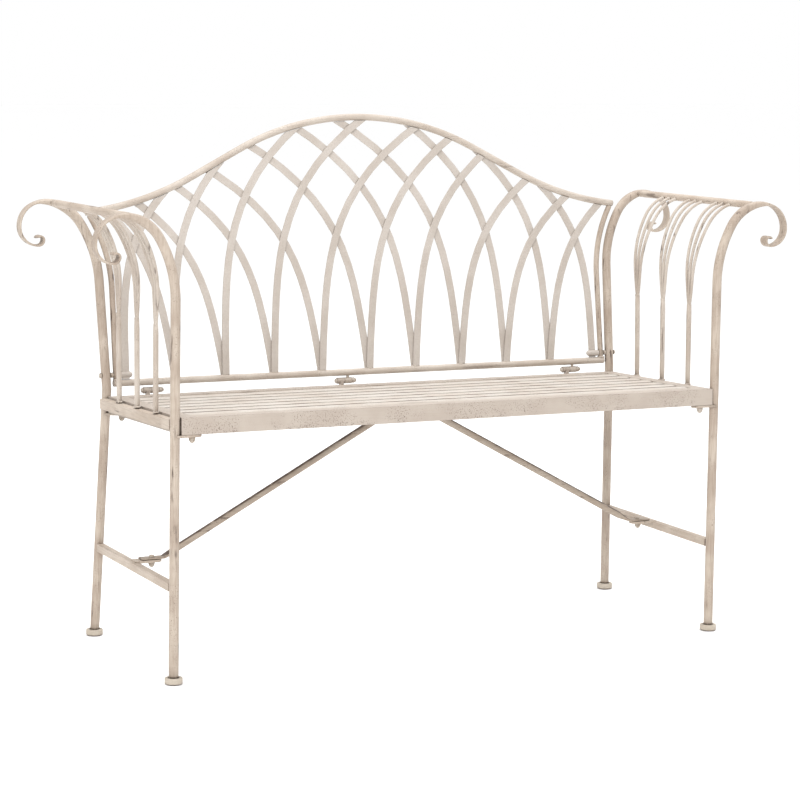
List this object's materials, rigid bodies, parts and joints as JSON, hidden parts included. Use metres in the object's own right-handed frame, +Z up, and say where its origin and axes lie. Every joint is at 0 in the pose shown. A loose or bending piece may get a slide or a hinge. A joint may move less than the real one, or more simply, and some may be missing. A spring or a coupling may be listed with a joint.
{
  "type": "garden bench",
  "caption": "Slatted metal garden bench with a camel-back lattice back, rolled scroll arms and diagonal under-seat braces.",
  "frame": {"origin": "bottom centre of the bounding box, on the floor", "axes": "+X to the sitter's left, which is the viewer's right; +Y to the back; +Z up"},
  "size_m": [1.2792, 0.4376, 0.8961],
  "materials": {
    "front_post_left": "satin, rubbed antique cream paint",
    "foot_cap_front_left": "matt cap, painted over in cream",
    "seat_bolt_front_left": "satin paint, worn at the edges",
    "rear_post_left": "satin, rubbed antique cream paint",
    "foot_cap_rear_left": "matt cap, painted over in cream",
    "seat_bolt_rear_left": "satin paint, worn at the edges",
    "arm_rail_left": "satin, rubbed antique cream paint",
    "side_bar_left": "satin, rubbed antique cream paint",
    "stretcher_left": "satin, rubbed antique cream paint",
    "spindle_left_1": "satin, rubbed antique cream paint",
    "spindle_left_2": "satin, rubbed antique cream paint",
    "spindle_left_3": "satin, rubbed antique cream paint",
    "brace_left": "satin, rubbed antique cream paint",
    "brace_bolt_left": "satin paint, worn at the edges",
    "back_side_rail_left": "satin, rubbed antique cream paint",
    "back_bolt_left": "satin paint, worn at the edges",
    "front_post_right": "satin, rubbed antique cream paint",
    "foot_cap_front_right": "matt cap, painted over in cream",
    "seat_bolt_front_right": "satin paint, worn at the edges",
    "rear_post_right": "satin, rubbed antique cream paint",
    "foot_cap_rear_right": "matt cap, painted over in cream",
    "seat_bolt_rear_right": "satin paint, worn at the edges",
    "arm_rail_right": "satin, rubbed antique cream paint",
    "side_bar_right": "satin, rubbed antique cream paint",
    "stretcher_right": "satin, rubbed antique cream paint",
    "spindle_right_1": "satin, rubbed antique cream paint",
    "spindle_right_2": "satin, rubbed antique cream paint",
    "spindle_right_3": "satin, rubbed antique cream paint",
    "brace_right": "satin, rubbed antique cream paint",
    "brace_bolt_right": "satin paint, worn at the edges",
    "back_side_rail_right": "satin, rubbed antique cream paint",
    "back_bolt_right": "satin paint, worn at the edges",
    "seat_frame": "satin, rubbed antique cream paint",
    "slat_panel": "satin, rubbed antique cream paint",
    "back_top_rail": "satin, rubbed antique cream paint",
    "back_bottom_rail": "satin, rubbed antique cream paint",
    "lattice_strip_right_1": "satin, rubbed antique cream paint",
    "lattice_strip_left_1": "satin, rubbed antique cream paint",
    "lattice_strip_right_2": "satin, rubbed antique cream paint",
    "lattice_strip_left_2": "satin, rubbed antique cream paint",
    "lattice_strip_right_3": "satin, rubbed antique cream paint",
    "lattice_strip_left_3": "satin, rubbed antique cream paint",
    "lattice_strip_right_4": "satin, rubbed antique cream paint",
    "lattice_strip_left_4": "satin, rubbed antique cream paint",
    "lattice_strip_right_5": "satin, rubbed antique cream paint",
    "lattice_strip_left_5": "satin, rubbed antique cream paint",
    "lattice_strip_right_6": "satin, rubbed antique cream paint",
    "lattice_strip_left_6": "satin, rubbed antique cream paint",
    "lattice_strip_right_7": "satin, rubbed antique cream paint",
    "lattice_strip_left_7": "satin, rubbed antique cream paint",
    "lattice_strip_right_8": "satin, rubbed antique cream paint",
    "lattice_strip_left_8": "satin, rubbed antique cream paint",
    "lattice_strip_right_9": "satin, rubbed antique cream paint",
    "lattice_strip_left_9": "satin, rubbed antique cream paint",
    "lattice_strip_right_10": "satin, rubbed antique cream paint",
    "lattice_strip_left_10": "satin, rubbed antique cream paint",
    "hinge_pin_1": "satin paint, worn at the edges",
    "hinge_pin_2": "satin paint, worn at the edges",
    "hinge_pin_3": "satin paint, worn at the edges"
  },
  "bodies": {
    "root": {"front_post_left": "front_post_left", "foot_cap_front_left": "foot_cap_front_left", "seat_bolt_front_left": "seat_bolt_front_left", "rear_post_left": "rear_post_left", "foot_cap_rear_left": "foot_cap_rear_left", "seat_bolt_rear_left": "seat_bolt_rear_left", "arm_rail_left": "arm_rail_left", "side_bar_left": "side_bar_left", "stretcher_left": "stretcher_left", "spindle_left_1": "spindle_left_1", "spindle_left_2": "spindle_left_2", "spindle_left_3": "spindle_left_3", "brace_left": "brace_left", "brace_bolt_left": "brace_bolt_left", "back_side_rail_left": "back_side_rail_left", "back_bolt_left": "back_bolt_left", "front_post_right": "front_post_right", "foot_cap_front_right": "foot_cap_front_right", "seat_bolt_front_right": "seat_bolt_front_right", "rear_post_right": "rear_post_right", "foot_cap_rear_right": "foot_cap_rear_right", "seat_bolt_rear_right": "seat_bolt_rear_right", "arm_rail_right": "arm_rail_right", "side_bar_right": "side_bar_right", "stretcher_right": "stretcher_right", "spindle_right_1": "spindle_right_1", "spindle_right_2": "spindle_right_2", "spindle_right_3": "spindle_right_3", "brace_right": "brace_right", "brace_bolt_right": "brace_bolt_right", "back_side_rail_right": "back_side_rail_right", "back_bolt_right": "back_bolt_right", "seat_frame": "seat_frame", "slat_panel": "slat_panel", "back_top_rail": "back_top_rail", "back_bottom_rail": "back_bottom_rail", "lattice_strip_right_1": "lattice_strip_right_1", "lattice_strip_left_1": "lattice_strip_left_1", "lattice_strip_right_2": "lattice_strip_right_2", "lattice_strip_left_2": "lattice_strip_left_2", "lattice_strip_right_3": "lattice_strip_right_3", "lattice_strip_left_3": "lattice_strip_left_3", "lattice_strip_right_4": "lattice_strip_right_4", "lattice_strip_left_4": "lattice_strip_left_4", "lattice_strip_right_5": "lattice_strip_right_5", "lattice_strip_left_5": "lattice_strip_left_5", "lattice_strip_right_6": "lattice_strip_right_6", "lattice_strip_left_6": "lattice_strip_left_6", "lattice_strip_right_7": "lattice_strip_right_7", "lattice_strip_left_7": "lattice_strip_left_7", "lattice_strip_right_8": "lattice_strip_right_8", "lattice_strip_left_8": "lattice_strip_left_8", "lattice_strip_right_9": "lattice_strip_right_9", "lattice_strip_left_9": "lattice_strip_left_9", "lattice_strip_right_10": "lattice_strip_right_10", "lattice_strip_left_10": "lattice_strip_left_10", "hinge_pin_1": "hinge_pin_1", "hinge_pin_2": "hinge_pin_2", "hinge_pin_3": "hinge_pin_3"}
  },
  "joints": []
}
